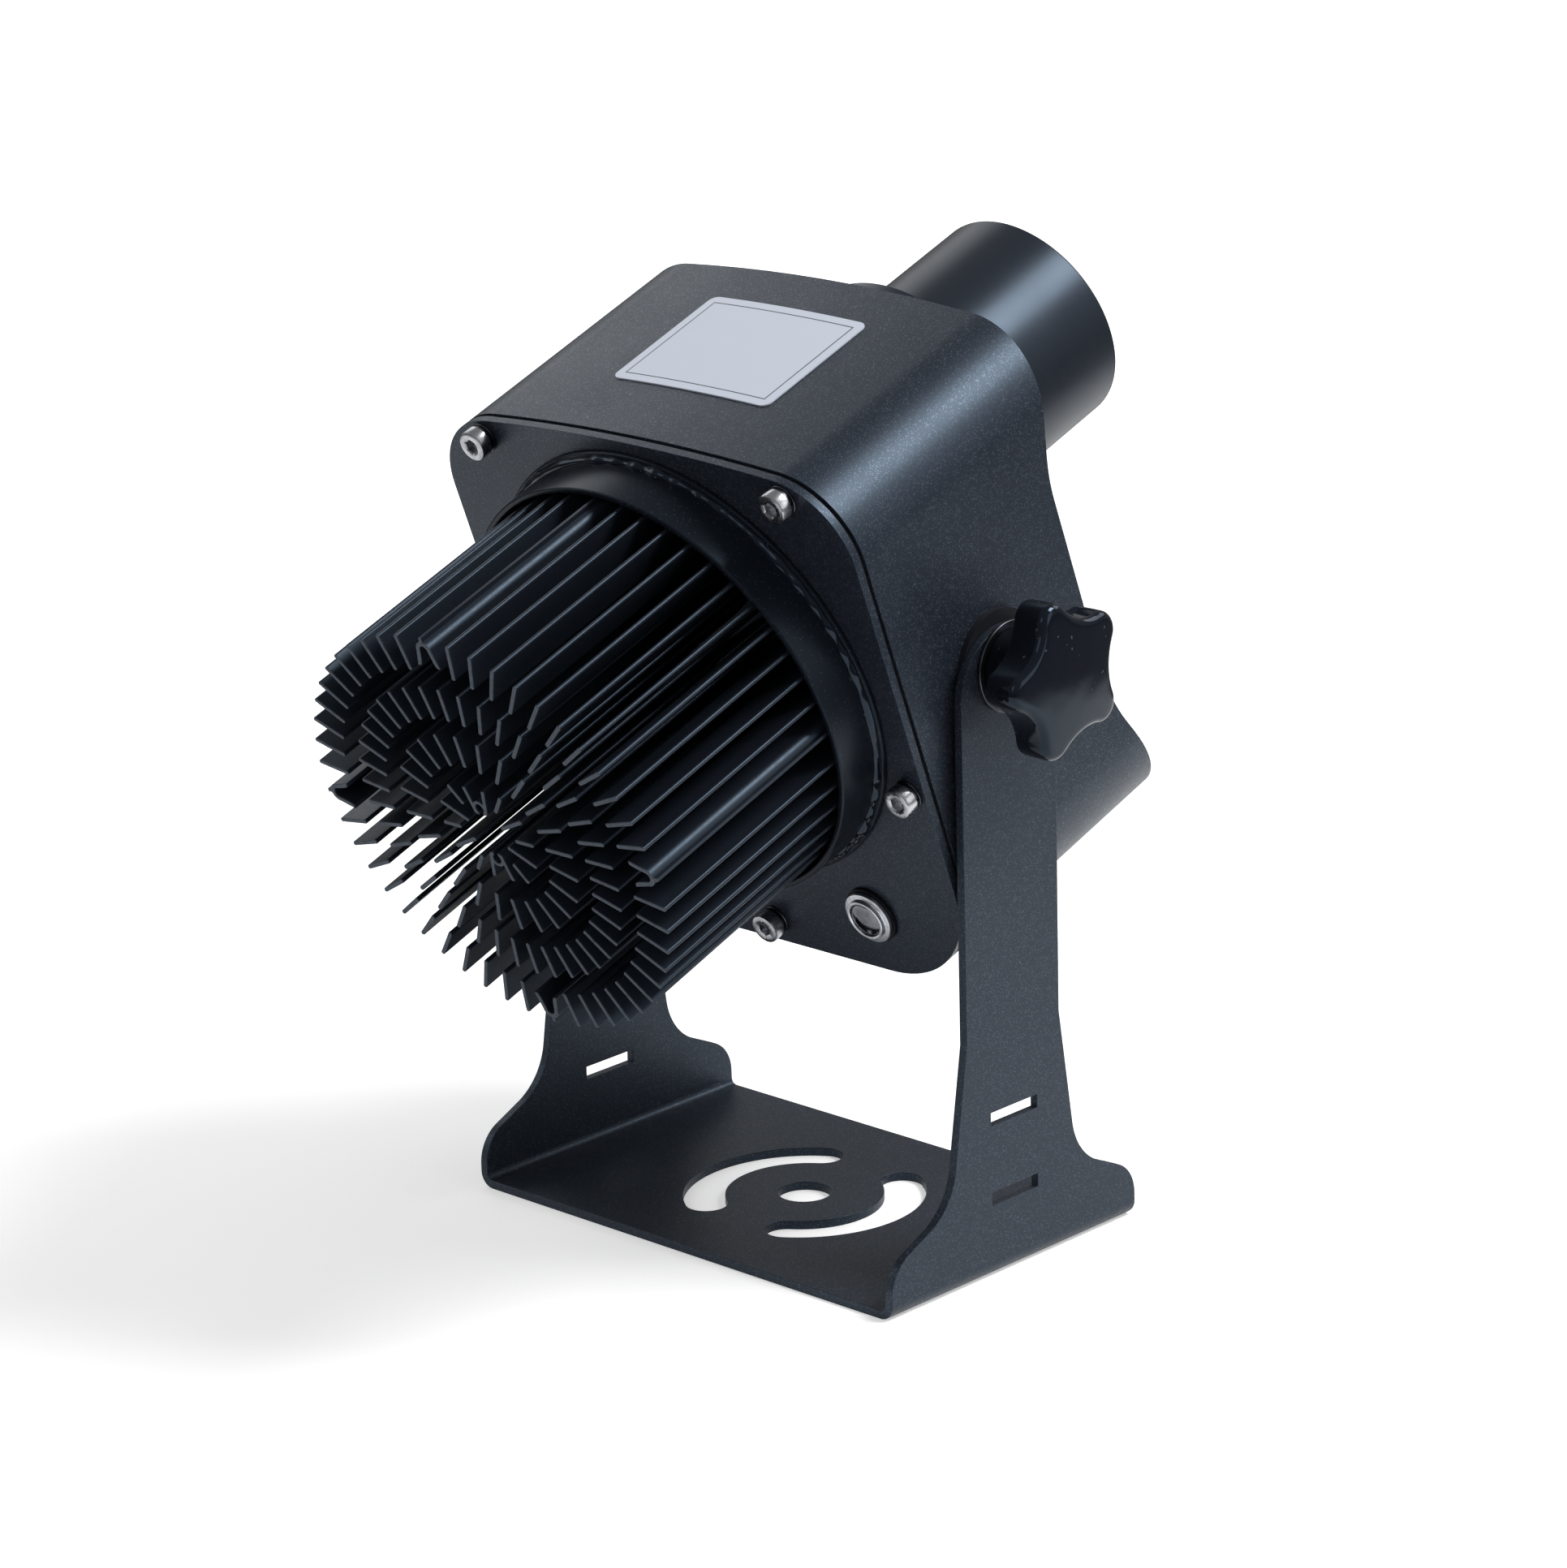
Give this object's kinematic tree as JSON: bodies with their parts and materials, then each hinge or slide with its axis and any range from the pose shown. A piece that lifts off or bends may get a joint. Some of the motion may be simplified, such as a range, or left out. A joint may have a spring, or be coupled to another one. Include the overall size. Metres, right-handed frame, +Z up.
{
  "type": "gobo_projector",
  "caption": "Compact weatherproof gobo projector head in a black bent sheet yoke, with a round finned heat sink, a focusing lens barrel and lobed clamping knobs",
  "frame": {"origin": "centre of the round hole in the yoke's base, at the base's underside", "axes": "+X across the yoke towards the arm that is on the right when the lens points away, +Y towards the lens, +Z up along the base hole's axis"},
  "size_m": [0.161, 0.1969, 0.2104],
  "materials": {
    "black_coat": "fine textured black powder coat with a faint sparkle",
    "sink_black": "black anodised blades with worn grey ends",
    "label_silver": "satin silver foil label, bare",
    "gasket_black": "matt black rubber",
    "stainless": "bright stainless steel",
    "button_steel": "satin stainless steel",
    "zinc_steel": "zinc plated steel",
    "black_anodised": "black anodised",
    "clear_glass": "polished and coated",
    "sealant_black": "glossy black sealant",
    "board_green": "solder mask",
    "phosphor_yellow": "phosphor",
    "driver_aluminium": "satin case",
    "contact_block": "moulded",
    "gland_black": "moulded nylon",
    "gland_rubber": "matt rubber",
    "knob_black": "glossy black moulding"
  },
  "bodies": {
    "yoke": {"yoke": "black_coat"},
    "right_washer": {"knob_washer_right": "stainless"},
    "right_knob": {"knob_right": "knob_black", "stud_right": "zinc_steel"},
    "left_washer": {"knob_washer_left": "stainless"},
    "left_knob": {"knob_left": "knob_black", "stud_left": "zinc_steel"},
    "focus_carrier": {"focus_seal": "gasket_black"},
    "barrel": {"lens_barrel": "black_anodised", "rear_lens": "clear_glass", "barrel_spacer": "black_anodised", "front_lens": "clear_glass", "front_lens_ring": "black_anodised"},
    "button": {"button_cap": "button_steel"},
    "head": {"casing": "black_coat", "label_plate": "label_silver", "rear_plate": "black_coat", "rear_gasket": "gasket_black", "rear_screws": "stainless", "spring_washers": "stainless", "flat_washers": "stainless", "heat_sink": "sink_black", "heat_sink_collar": "black_coat", "sealant_bead": "sealant_black", "bulkhead": "zinc_steel", "spacers": "zinc_steel", "spacer_screws": "stainless", "heat_sink_screws": "stainless", "led_board": "board_green", "led_emitter": "phosphor_yellow", "led_screws": "stainless", "optics_tube": "black_anodised", "optics_tube_screws": "stainless", "condenser_lenses": "clear_glass", "condenser_spacer": "black_anodised", "condenser_ring": "black_anodised", "led_driver": "driver_aluminium", "driver_screws": "stainless", "front_plate": "black_anodised", "front_gasket": "gasket_black", "front_screws": "stainless", "lens_mount": "black_anodised", "lens_mount_screws": "stainless", "gobo_holder": "black_anodised", "gobo": "clear_glass", "gobo_ring": "stainless", "button_bezel": "stainless", "button_seal": "gasket_black", "button_nut": "stainless", "button_contacts": "contact_block", "gland_body": "gland_black", "gland_nut": "gland_black", "gland_cap": "gland_black", "gland_seal": "gland_rubber", "pivot_inserts": "zinc_steel", "friction_washers": "gasket_black"}
  },
  "joints": [
    {"name": "tilt", "type": "hinge", "parent": "yoke", "child": "head", "pos_m": [0, 0, 0.1356], "axis": [1, 0, 0], "continuous": true},
    {"name": "right_knob_travel", "type": "slide", "parent": "head", "child": "right_washer", "axis": [1, 0, 0], "range_m": [0, 0.0025]},
    {"name": "right_knob_turn", "type": "hinge", "parent": "right_washer", "child": "right_knob", "pos_m": [0.07, 0, 0.1356], "axis": [1, 0, 0], "range_deg": [0, 720]},
    {"name": "left_knob_travel", "type": "slide", "parent": "head", "child": "left_washer", "axis": [-1, 0, 0], "range_m": [0, 0.0025]},
    {"name": "left_knob_turn", "type": "hinge", "parent": "left_washer", "child": "left_knob", "pos_m": [-0.07, 0, 0.1356], "axis": [-1, 0, 0], "range_deg": [0, 720]},
    {"name": "focus_travel", "type": "slide", "parent": "head", "child": "focus_carrier", "axis": [0, 0.9385, 0.3453], "range_m": [-0.003, 0.006]},
    {"name": "focus_turn", "type": "hinge", "parent": "focus_carrier", "child": "barrel", "pos_m": [0, -0.00718, 0.15512], "axis": [0, 0.9385, 0.3453], "range_deg": [-720, 1440]},
    {"name": "button_press", "type": "slide", "parent": "head", "child": "button", "axis": [0, 0.9385, 0.3453], "range_m": [0, 0.0015], "stiffness_N_per_m": 600, "springref_m": -0.003}
  ],
  "couplings": [
    {"joint": "right_knob_travel", "follows": "right_knob_turn", "m_per_rad": 0.00019894},
    {"joint": "left_knob_travel", "follows": "left_knob_turn", "m_per_rad": 0.00019894},
    {"joint": "focus_travel", "follows": "focus_turn", "m_per_rad": 0.00023873}
  ]
}
